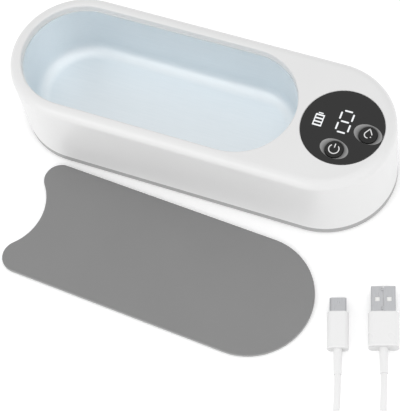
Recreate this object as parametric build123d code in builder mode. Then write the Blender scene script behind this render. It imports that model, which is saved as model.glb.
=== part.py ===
"""Ultrasonic jewelry cleaner with a lift-off lid and a charging cable.

Sizes in millimetres. The origin is on the table under the middle of the body,
+X runs towards the control panel and +Z is up. The lid and the charging cable
lie on the table in front of the body.
"""

import math
import os

from build123d import *

os.makedirs("parts", exist_ok=True)

# Body
end_spacing = 131.0  # between the centres of the two round ends
body_radius = 36.0
body_height = 49.5
deck_edge_radius = 4.8
wall = 2.5
deck_thickness = 3.0

# Base
pad_proud = 0.8
base_band = 4.2
base_floor = 2.5
base_edge_radius = 0.6
tongue_height = 4.0
tongue_thickness = 1.8
tongue_gap = 0.2
pad_depth = 1.0
pad_margin = 9.0  # from the side of the body to the side of the rubber pad
pad_gap = 0.1

# Tank
rim_land = 1.6  # flat of the deck between its rounded edge and the opening
bridge_width = 3.9  # deck between the opening and the control panel
lip_drop = 1.0  # of the lip below the underside of the deck
lip_wall = 2.2
opening_edge_radius = 1.0
seal_thickness = 0.8
tank_inset = 0.4
tank_wall = 0.6
tank_corner_radius = 8.0
flange_overhang = 0.7  # of the flange past the lip
transducer_radius = 17.5
transducer_thickness = 2.6
transducer_clearance = 4.6  # above the floor of the base

# Control panel
panel_land = 0.35  # flat of the deck between the panel and the rounded edge
panel_radius = 20.7
panel_rim_chamfer = 0.3
cover_thickness = 1.6
cover_gap = 0.1
digit_offset = (0.2, 3.1)  # from the panel's centre
digit_half_width = 3.05
digit_half_height = 6.05
segment_length = 4.1
segment_stroke = 0.85
gauge_offset = (-12.4, 0.4)
gauge_width = 4.6
gauge_height = 6.6
gauge_cap_width = 2.4
gauge_cap_height = 0.6
gauge_cap_gap = 0.4
gauge_bar_width = 3.5
gauge_bar_height = 1.15
gauge_bar_pitch = 1.9
gauge_bar_depth = 0.3
guide_gap = 0.05
carrier_margin = 1.0
window_gap = 0.2
shroud_wall = 1.0

# Buttons
power_offset = (0.0, -12.5)
mode_offset = (13.0, -0.2)
button_radius = 4.5
button_gap = 0.15
button_below_deck = 0.4
button_edge_radius = 0.35
button_travel = 0.5
flange_radius = 5.6
flange_thickness = 0.8
flange_gap = 0.1
dish_half_length = 7.3
dish_half_width = 5.2
dish_turn = -10.0
dish_depth = 1.1
switch_size = 6.0
switch_height = 3.5
plunger_radius = 1.7
plunger_gap = 0.1
plunger_stand = 0.8  # of the plunger above the switch's case at rest

# Circuit boards
board_thickness = 1.6
control_board_drop = 5.6  # from the underside of the deck to the board
control_board_radius = 18.4
control_screw_offset = 11.0
board_gap = 1.5
board_screw_radius = 1.0
board_head_radius = 1.9
board_head_height = 1.3
board_screw_length = 5.0
board_hole_gap = 0.15
board_boss_wall = 1.4
driver_boss_radius = 3.0
driver_boss_points = [(-19.0, 18.0), (-19.0, -18.0), (13.6, 17.5), (13.6, -17.5)]
led_size = (1.6, 0.8, 0.7)
transformer_offset = (-7.6, -12.0)
transformer_size = (14.0, 16.0)
transformer_clearance = 0.6  # under the heads of the screws of the board above
transformer_corner = 0.8
capacitor_offsets = [(6.0, 13.0), (15.5, 6.0)]
capacitor_radius = 3.6
capacitor_clearance = 1.9  # under the heads of the screws of the board above
capacitor_edge_radius = 0.5
chip_offsets = [(-12.0, 6.0), (-3.0, 7.5), (14.0, -7.0)]
chip_size = (5.0, 6.0, 1.7)
ribbon_width = 8.0
ribbon_thickness = 0.9
ribbon_offset = (6.0, -4.0)
connector_size = (3.6, 10.0, 3.0)

# Charging socket
socket_offset = -15.1  # along X from the panel's centre
socket_width = 8.94
socket_height = 3.26
socket_wall = 0.3
socket_length = 7.4
socket_cavity = 6.2
socket_tongue = (6.7, 0.7, 4.8)
socket_gap = 0.2
port_width = 12.4
port_height = 7.4
port_depth = 1.2

# Battery
battery_radius = 9.2
battery_length = 50.0
battery_gap = 2.0  # to the tank
battery_lift = 1.5  # above the floor of the base
saddle_gap = 0.2
saddle_spacing = 26.0
saddle_thickness = 3.0
saddle_height = 8.0
tab_size = (6.0, 0.3, 7.0)
pad_length = 24.0
pad_width = 8.0
pad_thickness = 2.8
wire_radius = 0.6
battery_lead_bend = 2.0
battery_lead_reach = 3.0  # out from the tab before it turns up
battery_lead_rise = 2.0  # above the middle of the cell
transducer_lead_spacing = 6.0
transducer_lead_bend = 0.7
transducer_lead_setback = 10.5  # from the middle of the transducer
transducer_lead_step = (4.0, 2.5)  # below the board, where the leads step in under it

# Case screws
case_screw_inset = 5.0  # from the side of the body
case_screw_angle = 55.0
case_boss_radius = 3.0
case_boss_height = 7.3
case_screw_radius = 1.1
case_hole_gap = 0.1
case_head_radius = 2.0
case_head_height = 1.4
case_head_recess = 2.0
case_head_gap = 0.2
case_screw_length = 8.0
cross_length = 2.4
cross_width = 0.5
cross_depth = 0.7

# Lid
lid_overlap = 2.7  # of the lid past the opening
lid_plate = 1.8
lid_rib_height = 0.8
lid_rib_wall = 1.6
lid_rib_gap = 0.4
lid_edge_radius = 0.6
lid_arc_radius = 26.5
lid_arc_shift = 3.2
lid_lobe_radius = 8.6
lid_x = 52.5  # of the middle of its round end
lid_distance = 10.3  # between the body and its round end
lid_turn = -3.1

# Charging cable
cable_diameter = 3.1
plug_heading = 108.8  # degrees from +X to the way that both plugs point
usb_c_offset = (50.9, -13.9)  # of the back of its housing, from the lid's round end
usb_c_width = 10.5
usb_c_thickness = 6.0
usb_c_length = 19.2
usb_c_shell = (8.34, 2.56, 7.6)
usb_c_insert_slot = (6.7, 0.8, 5.4)
usb_c_insert_setback = 0.3
usb_a_offset = (71.6, -6.5)
usb_a_width = 14.9
usb_a_thickness = 7.6
usb_a_length = 18.0
usb_a_shell = (12.0, 4.5, 13.6)
usb_a_shell_corner = 0.6
usb_a_insert_thickness = 1.9
usb_a_insert_setback = 0.8
usb_a_window = (2.3, 2.4)
usb_a_window_spacing = 5.7
usb_a_window_setback = 6.8
usb_a_seam = 0.2  # width of the seam down the middle of the shell
usb_a_seam_tab = (1.0, 1.2)  # of the two tabs that lock the seam
usb_a_seam_tab_setback = 1.2  # from each end of the shell
plug_corner_radius = 2.5
plug_edge_radius = 0.5
shell_wall = 0.32
relief_length = 13.0
relief_radius = 2.15
relief_end_radius = 1.9
relief_edge_radius = 0.3

cable_level = 8.5  # behind a strain relief, before the cable sinks to the table
cable_sunk = 22.5  # behind a strain relief, where it lies on the table
cable_drift = 0.8  # sideways by then
cable_climb = 0.6  # of the end that climbs on to the upper layer of the coil

# Coil of the cable's put-away length
coil_setback = 73.35  # of its centre behind the housings of the plugs
coil_inner_radius = 10.1
coil_pitch = 3.62
coil_layer_turns = 4
coil_layer_rise = 3.62
coil_lead_in = 15.0  # straight run before each end of the coil
tie_thickness = 0.6
tie_width = 5.0
tie_gap = 0.3
tie_under_gap = 0.15

# Places that follow from the sizes above
left_x = -end_spacing / 2
right_x = end_spacing / 2
inner_radius = body_radius - wall
deck_underside = body_height - deck_thickness
base_top = pad_proud + base_band
floor_top = pad_proud + base_floor
opening_radius = body_radius - deck_edge_radius - rim_land
panel_x = right_x + body_radius - deck_edge_radius - panel_land - panel_radius
opening_right = panel_x - panel_radius - bridge_width
tank_spacing = opening_right - opening_radius - left_x
tank_x = left_x + tank_spacing / 2
lip_bottom = deck_underside - lip_drop
flange_top = lip_bottom - seal_thickness
tank_radius = opening_radius - tank_inset
tank_outer_radius = tank_radius + tank_wall
flange_outer_radius = opening_radius + lip_wall + flange_overhang
tank_bottom = floor_top + transducer_clearance + transducer_thickness
tank_floor = tank_bottom + tank_wall
tank_outer_right = opening_right - tank_inset + tank_wall
recess_floor = body_height - cover_thickness
control_board_top = deck_underside - control_board_drop
control_board_bottom = control_board_top - board_thickness
battery_z = floor_top + battery_lift + battery_radius
driver_board_z = battery_z + battery_radius + pad_thickness
driver_board_top = driver_board_z + board_thickness
parts_ceiling = control_board_bottom - board_head_height
panel_origin = (panel_x, 0)
lid_radius = opening_radius + lid_overlap
lid_place = (lid_x, -body_radius - lid_distance - lid_radius)
usb_c_place = (lid_place[0] + usb_c_offset[0], lid_place[1] + usb_c_offset[1])
usb_a_place = (lid_place[0] + usb_a_offset[0], lid_place[1] + usb_a_offset[1])


def on_panel(offset):
    """Place in plan of a point given from the panel's centre."""
    return (panel_x + offset[0], offset[1])


def finish(piece, name):
    """Label a finished piece and write its STEP file."""
    piece.part.label = name
    export_step(piece.part, f"parts/{name}.step")


def slot(center_x, spacing, radius):
    """Round-ended outline along X."""
    with Locations((center_x, 0)):
        SlotCenterToCenter(spacing, 2 * radius)


def segments(grow):
    """The seven strokes of the digit, each wider by grow all round."""
    length = segment_length + 2 * grow
    stroke = segment_stroke + 2 * grow
    x, y = on_panel(digit_offset)
    with Locations((x, y - digit_half_height), (x, y), (x, y + digit_half_height)):
        SlotOverall(length, stroke)
    with Locations((x, y - digit_half_height / 2), (x, y + digit_half_height / 2)):
        with Locations((-digit_half_width, 0), (digit_half_width, 0)):
            SlotOverall(length, stroke, rotation=90)


def gauge_outline(grow):
    """Outline of the battery symbol, with its cap a little above it."""
    x, y = on_panel(gauge_offset)
    with Locations((x, y)):
        Rectangle(gauge_width + 2 * grow, gauge_height + 2 * grow)
    with Locations((x, y + gauge_height / 2 + gauge_cap_gap + gauge_cap_height / 2)):
        Rectangle(gauge_cap_width + 2 * grow, gauge_cap_height + 2 * grow)


def digit_frame(grow):
    """Rectangle round the digit."""
    with Locations(on_panel(digit_offset)):
        Rectangle(
            2 * digit_half_width + segment_stroke + 2 * grow,
            2 * digit_half_height + segment_stroke + 2 * grow,
        )


def gauge_frame(grow):
    """Rectangle round the battery symbol and its cap."""
    x, y = on_panel(gauge_offset)
    cap_reach = gauge_cap_gap + gauge_cap_height
    with Locations((x, y + cap_reach / 2)):
        Rectangle(gauge_width + 2 * grow, gauge_height + cap_reach + 2 * grow)


# Case screws stand at both round ends and beside the tank
case_screw_radius_line = body_radius - case_screw_inset
case_screw_points = []
for side in (-1, 1):
    case_screw_points.append((0, side * case_screw_radius_line))
    for end in (-1, 1):
        turn = math.radians(case_screw_angle)
        along = end * (right_x + case_screw_radius_line * math.cos(turn))
        case_screw_points.append((along, side * case_screw_radius_line * math.sin(turn)))
control_screw_points = [
    on_panel((side_x * control_screw_offset, side_y * control_screw_offset))
    for side_x in (-1, 1)
    for side_y in (-1, 1)
]
driver_screw_points = [on_panel(point) for point in driver_boss_points]
button_places = {"power": on_panel(power_offset), "mode": on_panel(mode_offset)}
socket_x = panel_x + socket_offset
socket_z = driver_board_top + socket_height / 2
socket_mouth_y = body_radius - port_depth

# Upper housing: one moulded shell with the deck, the lip round the tank's
# opening, the recess for the panel, the bosses and the charging port
with BuildPart() as upper_housing:
    with BuildSketch(Plane.XY.offset(base_top)):
        slot(0, end_spacing, body_radius)
    extrude(amount=body_height - base_top)
    fillet(upper_housing.faces().sort_by(Axis.Z)[-1].edges(), deck_edge_radius)
    with BuildSketch(Plane.XY.offset(base_top)):
        slot(0, end_spacing, inner_radius)
    extrude(amount=deck_underside - base_top, mode=Mode.SUBTRACT)
    ceiling = upper_housing.faces().filter_by(Axis.Z).group_by(Axis.Z)[-2]
    fillet(ceiling.edges(), max(deck_edge_radius - wall, 0.5))
    with BuildSketch(Plane.XY.offset(lip_bottom)):
        slot(tank_x, tank_spacing, opening_radius + lip_wall)
    extrude(amount=lip_drop)
    with BuildSketch(Plane.XY.offset(control_board_top)):
        with Locations(*control_screw_points):
            Circle(board_screw_radius + board_boss_wall)
    extrude(amount=deck_underside - control_board_top)
    with BuildSketch(Plane.XY.offset(driver_board_top)):
        with Locations(*driver_screw_points):
            Circle(driver_boss_radius)
    extrude(amount=deck_underside - driver_board_top)
    with BuildSketch(Plane.XY.offset(base_top)):
        with Locations(*case_screw_points):
            Circle(case_boss_radius)
    extrude(amount=case_boss_height)
    with BuildSketch(Plane.XY.offset(lip_bottom)):
        slot(tank_x, tank_spacing, opening_radius)
    extrude(amount=body_height - lip_bottom, mode=Mode.SUBTRACT)
    deck = upper_housing.faces().sort_by(Axis.Z)[-1]
    fillet(deck.inner_wires()[0].edges(), opening_edge_radius)
    with BuildSketch(Plane.XY.offset(recess_floor)):
        with Locations(panel_origin):
            Circle(panel_radius)
    extrude(amount=cover_thickness, mode=Mode.SUBTRACT)
    rim = upper_housing.edges().filter_by(
        lambda edge: edge.geom_type == GeomType.CIRCLE and abs(edge.radius - panel_radius) < 1e-4
    )
    chamfer(rim.sort_by(Axis.Z)[-1], panel_rim_chamfer)
    with BuildSketch(Plane.XY.offset(deck_underside)):
        digit_frame(carrier_margin + window_gap)
        gauge_frame(carrier_margin + window_gap)
        with Locations(*button_places.values()):
            Circle(button_radius + button_gap)
    extrude(amount=recess_floor - deck_underside, mode=Mode.SUBTRACT)
    with BuildSketch(Plane.XY.offset(base_top)):
        with Locations(*case_screw_points):
            Circle(case_screw_radius + case_hole_gap)
    extrude(amount=case_boss_height - 1, mode=Mode.SUBTRACT)
    with BuildSketch(Plane.XY.offset(control_board_top)):
        with Locations(*control_screw_points):
            Circle(board_screw_radius + board_hole_gap)
    extrude(amount=board_screw_length, mode=Mode.SUBTRACT)
    with BuildSketch(Plane.XY.offset(driver_board_top)):
        with Locations(*driver_screw_points):
            Circle(board_screw_radius + board_hole_gap)
    extrude(amount=board_screw_length, mode=Mode.SUBTRACT)
    port_plane = Plane(origin=(socket_x, body_radius, socket_z), x_dir=(-1, 0, 0), z_dir=(0, 1, 0))
    with BuildSketch(port_plane):
        SlotOverall(port_width, port_height)
    extrude(amount=-port_depth, mode=Mode.SUBTRACT)
    with BuildSketch(port_plane):
        SlotOverall(socket_width + 2 * socket_gap, socket_height + 2 * socket_gap)
    extrude(amount=-wall - port_depth, mode=Mode.SUBTRACT)
finish(upper_housing, "upper_housing")

# Base plate: floor, visible band, tongue inside the housing, battery saddles
# and the seats of the case screws
battery_x = tank_outer_right + battery_gap + battery_radius
with BuildPart() as base_plate:
    with BuildSketch(Plane.XY.offset(pad_proud)):
        slot(0, end_spacing, body_radius)
    extrude(amount=base_band)
    fillet(base_plate.faces().sort_by(Axis.Z)[0].edges(), min(base_edge_radius, base_band - 0.5))
    with BuildSketch(Plane.XY.offset(base_top)):
        slot(0, end_spacing, inner_radius - tongue_gap)
    extrude(amount=tongue_height)
    with BuildSketch(Plane.XY.offset(floor_top)):
        slot(0, end_spacing, inner_radius - tongue_gap - tongue_thickness)
    extrude(amount=base_top + tongue_height - floor_top, mode=Mode.SUBTRACT)
    with BuildSketch(Plane.XY.offset(floor_top)):
        with Locations(*case_screw_points):
            Circle(case_boss_radius + 1)
    extrude(amount=base_top - floor_top)
    with BuildSketch(Plane.XY.offset(base_top)):
        with Locations(*case_screw_points):
            Circle(case_boss_radius + 2 * tongue_gap)
    extrude(amount=tongue_height, mode=Mode.SUBTRACT)
    with BuildSketch(Plane.XY.offset(floor_top)):
        with Locations((battery_x, -saddle_spacing / 2), (battery_x, saddle_spacing / 2)):
            Rectangle(2 * battery_radius - 1, saddle_thickness)
    extrude(amount=saddle_height)
    with BuildSketch(Plane.XZ.offset(-saddle_spacing)):
        with Locations((battery_x, battery_z)):
            Circle(battery_radius + saddle_gap)
    extrude(amount=2 * saddle_spacing, mode=Mode.SUBTRACT)
    with BuildSketch(Plane.XY.offset(pad_proud)):
        slot(0, end_spacing, body_radius - pad_margin)
    extrude(amount=pad_depth, mode=Mode.SUBTRACT)
    with BuildSketch(Plane.XY.offset(pad_proud)):
        with Locations(*case_screw_points):
            Circle(case_head_radius + case_head_gap)
    extrude(amount=case_head_recess, mode=Mode.SUBTRACT)
    with BuildSketch(Plane.XY.offset(pad_proud)):
        with Locations(*case_screw_points):
            Circle(case_screw_radius + case_hole_gap)
    extrude(amount=base_band, mode=Mode.SUBTRACT)
finish(base_plate, "base_plate")

# Rubber pad in the underside of the base, which the body stands on
with BuildPart() as rubber_pad:
    with BuildSketch(Plane.XY):
        slot(0, end_spacing, body_radius - pad_margin - pad_gap)
    extrude(amount=pad_proud + pad_depth)
    fillet(rubber_pad.faces().sort_by(Axis.Z)[0].edges(), pad_proud / 2)
finish(rubber_pad, "rubber_pad")

# Case screws: pan heads with a cross recess
case_seat = pad_proud + case_head_recess
with BuildPart() as case_screws:
    with BuildSketch(Plane.XY.offset(case_seat)):
        with Locations(*case_screw_points):
            Circle(case_head_radius)
    extrude(amount=-case_head_height)
    with BuildSketch(Plane.XY.offset(case_seat)):
        with Locations(*case_screw_points):
            Circle(case_screw_radius)
    extrude(amount=case_screw_length)
    with BuildSketch(Plane.XY.offset(case_seat - case_head_height)):
        with Locations(*case_screw_points):
            Rectangle(cross_length, cross_width)
            Rectangle(cross_width, cross_length)
    extrude(amount=cross_depth, mode=Mode.SUBTRACT)
finish(case_screws, "case_screws")

# Tank: drawn stainless tub with a flange that seals under the lip
with BuildPart() as tank_hollow:
    with BuildSketch(Plane.XY.offset(tank_floor)):
        slot(tank_x, tank_spacing, tank_radius)
    extrude(amount=flange_top - tank_floor)
    fillet(tank_hollow.faces().sort_by(Axis.Z)[0].edges(), tank_corner_radius - tank_wall)
with BuildPart() as tank:
    with BuildSketch(Plane.XY.offset(tank_bottom)):
        slot(tank_x, tank_spacing, tank_outer_radius)
    extrude(amount=flange_top - tank_bottom)
    fillet(tank.faces().sort_by(Axis.Z)[0].edges(), tank_corner_radius)
    with BuildSketch(Plane.XY.offset(flange_top - tank_wall)):
        slot(tank_x, tank_spacing, flange_outer_radius)
    extrude(amount=tank_wall)
    add(tank_hollow.part, mode=Mode.SUBTRACT)
finish(tank, "tank")

# Silicone seal between the lip and the tank's flange
with BuildPart() as tank_seal:
    with BuildSketch(Plane.XY.offset(flange_top)):
        slot(tank_x, tank_spacing, opening_radius + lip_wall - 0.2)
        with Locations((tank_x, 0)):
            SlotCenterToCenter(tank_spacing, 2 * (opening_radius + 0.2), mode=Mode.SUBTRACT)
    extrude(amount=seal_thickness)
finish(tank_seal, "tank_seal")

# Transducer: ceramic disc bonded under the tank, with a soldered electrode
transducer_bottom = tank_bottom - transducer_thickness
with BuildPart() as transducer:
    with BuildSketch(Plane.XY.offset(transducer_bottom)):
        with Locations((tank_x, 0)):
            Circle(transducer_radius)
    extrude(amount=transducer_thickness)
    chamfer(transducer.faces().sort_by(Axis.Z)[0].edges(), 0.3)
finish(transducer, "transducer")


# Panel cover: glossy disc bonded in its recess, with a sloping finger dish
# round each button, oval at the top and round at the button's hole
with BuildPart() as panel_cover:
    with BuildSketch(Plane.XY.offset(recess_floor)):
        with Locations(panel_origin):
            Circle(panel_radius - cover_gap)
    extrude(amount=cover_thickness)
    fillet(panel_cover.faces().sort_by(Axis.Z)[-1].edges(), 0.2)
    for place in button_places.values():
        with BuildSketch(Plane.XY.offset(body_height)):
            with Locations(place):
                Ellipse(dish_half_length, dish_half_width, rotation=dish_turn)
        with BuildSketch(Plane.XY.offset(body_height - dish_depth)):
            with Locations(place):
                Circle(button_radius + button_gap)
        loft(mode=Mode.SUBTRACT)
    with BuildSketch(Plane.XY.offset(recess_floor)):
        with Locations(*button_places.values()):
            Circle(button_radius + button_gap)
        segments(guide_gap)
        gauge_outline(guide_gap)
    extrude(amount=cover_thickness, mode=Mode.SUBTRACT)
finish(panel_cover, "panel_cover")

# Light guides: milky inserts whose raised strokes end flush with the cover
with BuildPart() as digit_light_guide:
    with BuildSketch(Plane.XY.offset(deck_underside)):
        digit_frame(carrier_margin)
    extrude(amount=recess_floor - deck_underside)
    with BuildSketch(Plane.XY.offset(recess_floor)):
        segments(0)
    extrude(amount=cover_thickness)
finish(digit_light_guide, "digit_light_guide")

with BuildPart() as gauge_light_guide:
    with BuildSketch(Plane.XY.offset(deck_underside)):
        gauge_frame(carrier_margin)
    extrude(amount=recess_floor - deck_underside)
    with BuildSketch(Plane.XY.offset(recess_floor)):
        gauge_outline(0)
    extrude(amount=cover_thickness)
    with BuildSketch(Plane.XY.offset(body_height)):
        with Locations(on_panel(gauge_offset)):
            with GridLocations(0, gauge_bar_pitch, 1, 3):
                Rectangle(gauge_bar_width, gauge_bar_height)
    extrude(amount=-gauge_bar_depth, mode=Mode.SUBTRACT)
finish(gauge_light_guide, "gauge_light_guide")

# Shroud: two white cells that keep each symbol's light to itself
with BuildPart() as display_shroud:
    with BuildSketch(Plane.XY.offset(control_board_top)):
        digit_frame(carrier_margin + shroud_wall)
        gauge_frame(carrier_margin + shroud_wall)
        bridge_left = on_panel(gauge_offset)[0]
        bridge_right = on_panel(digit_offset)[0]
        with Locations(((bridge_left + bridge_right) / 2, gauge_offset[1])):
            Rectangle(bridge_right - bridge_left, 2 * shroud_wall)
    extrude(amount=control_board_drop)
    with BuildSketch(Plane.XY.offset(control_board_top)):
        digit_frame(carrier_margin)
        gauge_frame(carrier_margin)
    extrude(amount=control_board_drop, mode=Mode.SUBTRACT)
finish(display_shroud, "display_shroud")

# Control board with its light-emitting diodes
with BuildPart() as control_board:
    with BuildSketch(Plane.XY.offset(control_board_bottom)):
        with Locations(panel_origin):
            Circle(control_board_radius)
        with Locations(*control_screw_points):
            Circle(board_screw_radius + board_hole_gap, mode=Mode.SUBTRACT)
    extrude(amount=board_thickness)
finish(control_board, "control_board")

led_x, led_y = on_panel(digit_offset)
led_points = [
    (led_x, led_y - digit_half_height),
    (led_x, led_y),
    (led_x, led_y + digit_half_height),
    on_panel((gauge_offset[0], gauge_offset[1] - gauge_height / 4)),
    on_panel((gauge_offset[0], gauge_offset[1] + gauge_height / 4)),
]
for side_x in (-1, 1):
    for side_y in (-1, 1):
        led_points.append(
            (led_x + side_x * digit_half_width, led_y + side_y * digit_half_height / 2)
        )
with BuildPart() as panel_leds:
    with BuildSketch(Plane.XY.offset(control_board_top)):
        with Locations(*led_points):
            Rectangle(led_size[0], led_size[1])
    extrude(amount=led_size[2])
finish(panel_leds, "panel_leds")


# Buttons: each has a cap with a retaining flange, a stem that meets the
# plunger of its switch, and the switch's case on the control board
button_top = body_height - button_below_deck
button_flange_top = deck_underside - flange_gap
button_flange_bottom = button_flange_top - flange_thickness
switch_top = control_board_top + switch_height
plunger_top = switch_top + plunger_stand


def make_button(name, place):
    """Cap, flange and stem of one button."""
    with BuildPart() as button:
        with BuildSketch(Plane.XY.offset(button_flange_top)):
            with Locations(place):
                Circle(button_radius)
        extrude(amount=button_top - button_flange_top)
        fillet(button.faces().sort_by(Axis.Z)[-1].edges(), button_edge_radius)
        with BuildSketch(Plane.XY.offset(button_flange_bottom)):
            with Locations(place):
                Circle(flange_radius)
        extrude(amount=flange_thickness)
        with BuildSketch(Plane.XY.offset(plunger_top)):
            with Locations(place):
                Circle(plunger_radius)
        extrude(amount=button_flange_bottom - plunger_top)
    finish(button, f"{name}_button")


def make_plunger(name, place):
    """Moving plunger of one switch."""
    with BuildPart() as plunger:
        with BuildSketch(Plane.XY.offset(switch_top - plunger_stand)):
            with Locations(place):
                Circle(plunger_radius)
        extrude(amount=2 * plunger_stand)
    finish(plunger, f"{name}_plunger")


def make_switch(name, place):
    """Case of one push switch with the bore that its plunger runs in."""
    with BuildPart() as switch:
        with BuildSketch(Plane.XY.offset(control_board_top)):
            with Locations(place):
                RectangleRounded(switch_size, switch_size, 0.6)
        extrude(amount=switch_height)
        with BuildSketch(Plane.XY.offset(switch_top)):
            with Locations(place):
                Circle(plunger_radius + plunger_gap)
        extrude(amount=-plunger_stand - button_travel - 0.3, mode=Mode.SUBTRACT)
    finish(switch, f"{name}_switch")


for button_name, button_place in button_places.items():
    make_button(button_name, button_place)
    make_plunger(button_name, button_place)
    make_switch(button_name, button_place)

# Driver board follows the inside of the housing
board_left = tank_outer_right + board_gap
with BuildPart() as driver_board:
    with BuildSketch(Plane.XY.offset(driver_board_z)):
        slot(0, end_spacing, inner_radius - board_gap)
        with Locations((board_left - end_spacing, 0)):
            Rectangle(2 * end_spacing, 2 * body_radius, mode=Mode.SUBTRACT)
        with Locations(*driver_screw_points):
            Circle(board_screw_radius + board_hole_gap, mode=Mode.SUBTRACT)
    extrude(amount=board_thickness)
finish(driver_board, "driver_board")


def make_board_screws(name, points, underside):
    """Screws driven up through a board, heads below it."""
    with BuildPart() as screws:
        with BuildSketch(Plane.XY.offset(underside)):
            with Locations(*points):
                Circle(board_head_radius)
        extrude(amount=-board_head_height)
        with BuildSketch(Plane.XY.offset(underside)):
            with Locations(*points):
                Circle(board_screw_radius)
        extrude(amount=board_screw_length)
    finish(screws, name)


make_board_screws("panel_screws", control_screw_points, control_board_bottom)
make_board_screws("driver_screws", driver_screw_points, driver_board_z)

# Step-up transformer: ferrite core round a winding bobbin
core_x, core_y = on_panel(transformer_offset)
transformer_height = parts_ceiling - transformer_clearance - driver_board_top
with BuildPart() as step_up_transformer:
    with BuildSketch(Plane.XY.offset(driver_board_top)):
        with Locations((core_x, core_y)):
            RectangleRounded(*transformer_size, transformer_corner)
    extrude(amount=transformer_height)
    with BuildSketch(Plane.XY.offset(driver_board_top + transformer_height)):
        with Locations((core_x, core_y - transformer_size[1] / 2)):
            Rectangle(transformer_size[0] / 2, transformer_size[1] / 3)
        with Locations((core_x, core_y + transformer_size[1] / 2)):
            Rectangle(transformer_size[0] / 2, transformer_size[1] / 3)
    extrude(amount=-transformer_height / 2, mode=Mode.SUBTRACT)
finish(step_up_transformer, "step_up_transformer")

# Filter capacitors
with BuildPart() as filter_capacitors:
    with BuildSketch(Plane.XY.offset(driver_board_top)):
        with Locations(*[on_panel(offset) for offset in capacitor_offsets]):
            Circle(capacitor_radius)
    extrude(amount=parts_ceiling - capacitor_clearance - driver_board_top)
    fillet(filter_capacitors.faces().group_by(Axis.Z)[-1].edges(), capacitor_edge_radius)
finish(filter_capacitors, "filter_capacitors")

with BuildPart() as driver_chips:
    with BuildSketch(Plane.XY.offset(driver_board_top)):
        with Locations(*[on_panel(offset) for offset in chip_offsets]):
            Rectangle(chip_size[0], chip_size[1])
    extrude(amount=chip_size[2])
    chamfer(driver_chips.faces().group_by(Axis.Z)[-1].edges(), 0.3)
finish(driver_chips, "driver_chips")

# Charging socket on the edge of the driver board
mouth_plane = Plane(origin=(socket_x, socket_mouth_y, socket_z), x_dir=(-1, 0, 0), z_dir=(0, 1, 0))
with BuildPart() as usb_c_socket:
    with BuildSketch(mouth_plane):
        SlotOverall(socket_width, socket_height)
    extrude(amount=-socket_length)
    with BuildSketch(mouth_plane):
        SlotOverall(socket_width - 2 * socket_wall, socket_height - 2 * socket_wall)
    extrude(amount=-socket_cavity, mode=Mode.SUBTRACT)
    with BuildSketch(mouth_plane.offset(-socket_cavity)):
        Rectangle(socket_tongue[0], socket_tongue[1])
    extrude(amount=socket_tongue[2])
finish(usb_c_socket, "usb_c_socket")

# Ribbon between the boards, and the connector at each end
ribbon_bottom = driver_board_top + connector_size[2]
ribbon_top = control_board_bottom - connector_size[2]
with BuildPart() as ribbon_connectors:
    for foot_z in (driver_board_top, ribbon_top):
        with BuildSketch(Plane.XY.offset(foot_z)):
            with Locations(on_panel(ribbon_offset)):
                Rectangle(connector_size[0], connector_size[1])
        extrude(amount=connector_size[2])
finish(ribbon_connectors, "ribbon_connectors")

with BuildPart() as panel_ribbon:
    with BuildSketch(Plane.XY.offset(ribbon_bottom)):
        with Locations(on_panel(ribbon_offset)):
            Rectangle(ribbon_thickness, ribbon_width)
    extrude(amount=ribbon_top - ribbon_bottom)
finish(panel_ribbon, "panel_ribbon")

# Battery cell, the nickel tabs welded to its ends, and the foam pad that
# holds it down under the driver board
with BuildPart() as battery_cell:
    with BuildSketch(Plane.XZ.offset(-battery_length / 2)):
        with Locations((battery_x, battery_z)):
            Circle(battery_radius)
    extrude(amount=battery_length)
    fillet(battery_cell.edges(), 0.8)
finish(battery_cell, "battery_cell")

tab_y = battery_length / 2
with BuildPart() as battery_tabs:
    for side in (-1, 1):
        with BuildSketch(Plane.XZ.offset(-side * tab_y)):
            with Locations((battery_x, battery_z)):
                Rectangle(tab_size[0], tab_size[2])
        extrude(amount=-side * tab_size[1])
finish(battery_tabs, "battery_tabs")

with BuildPart() as battery_pad:
    with BuildSketch(Plane.XY.offset(battery_z)):
        with Locations((battery_x, 0)):
            Rectangle(pad_width, pad_length)
    extrude(amount=driver_board_z - battery_z)
    with BuildSketch(Plane.XZ.offset(-battery_length / 2)):
        with Locations((battery_x, battery_z)):
            Circle(battery_radius + saddle_gap / 2)
    extrude(amount=battery_length, mode=Mode.SUBTRACT)
finish(battery_pad, "battery_pad")


def make_wires(name, routes, bend):
    """Round wires along straight runs with rounded corners."""
    with BuildPart() as wires:
        for points in routes:
            with BuildLine() as route:
                FilletPolyline(*points, radius=bend)
            start_way = route.wires()[0] % 0
            with BuildSketch(Plane(origin=points[0], z_dir=start_way)):
                Circle(wire_radius)
            sweep(path=route.wires()[0])
    finish(wires, name)


lead_drop_x = tank_x + transducer_lead_setback
lead_gap_x = (tank_outer_right + battery_x - battery_radius) / 2
lead_low_z = (floor_top + transducer_bottom) / 2
lead_end_x = board_left + 2 * wire_radius
transducer_routes = [
    [
        (lead_drop_x, lead_y, transducer_bottom),
        (lead_drop_x, lead_y, lead_low_z),
        (lead_gap_x, lead_y, lead_low_z),
        (lead_gap_x, lead_y, driver_board_z - transducer_lead_step[0]),
        (lead_end_x, lead_y, driver_board_z - transducer_lead_step[1]),
        (lead_end_x, lead_y, driver_board_z),
    ]
    for lead_y in (-transducer_lead_spacing / 2, transducer_lead_spacing / 2)
]
make_wires("transducer_leads", transducer_routes, transducer_lead_bend)

lead_z = battery_z + battery_lead_rise
lead_start_y = tab_y + tab_size[1]
battery_routes = [
    [
        (battery_x, side * lead_start_y, lead_z),
        (battery_x, side * (lead_start_y + battery_lead_reach), lead_z),
        (battery_x, side * (lead_start_y + battery_lead_reach), driver_board_z),
    ]
    for side in (-1, 1)
]
make_wires("battery_leads", battery_routes, battery_lead_bend)

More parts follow.
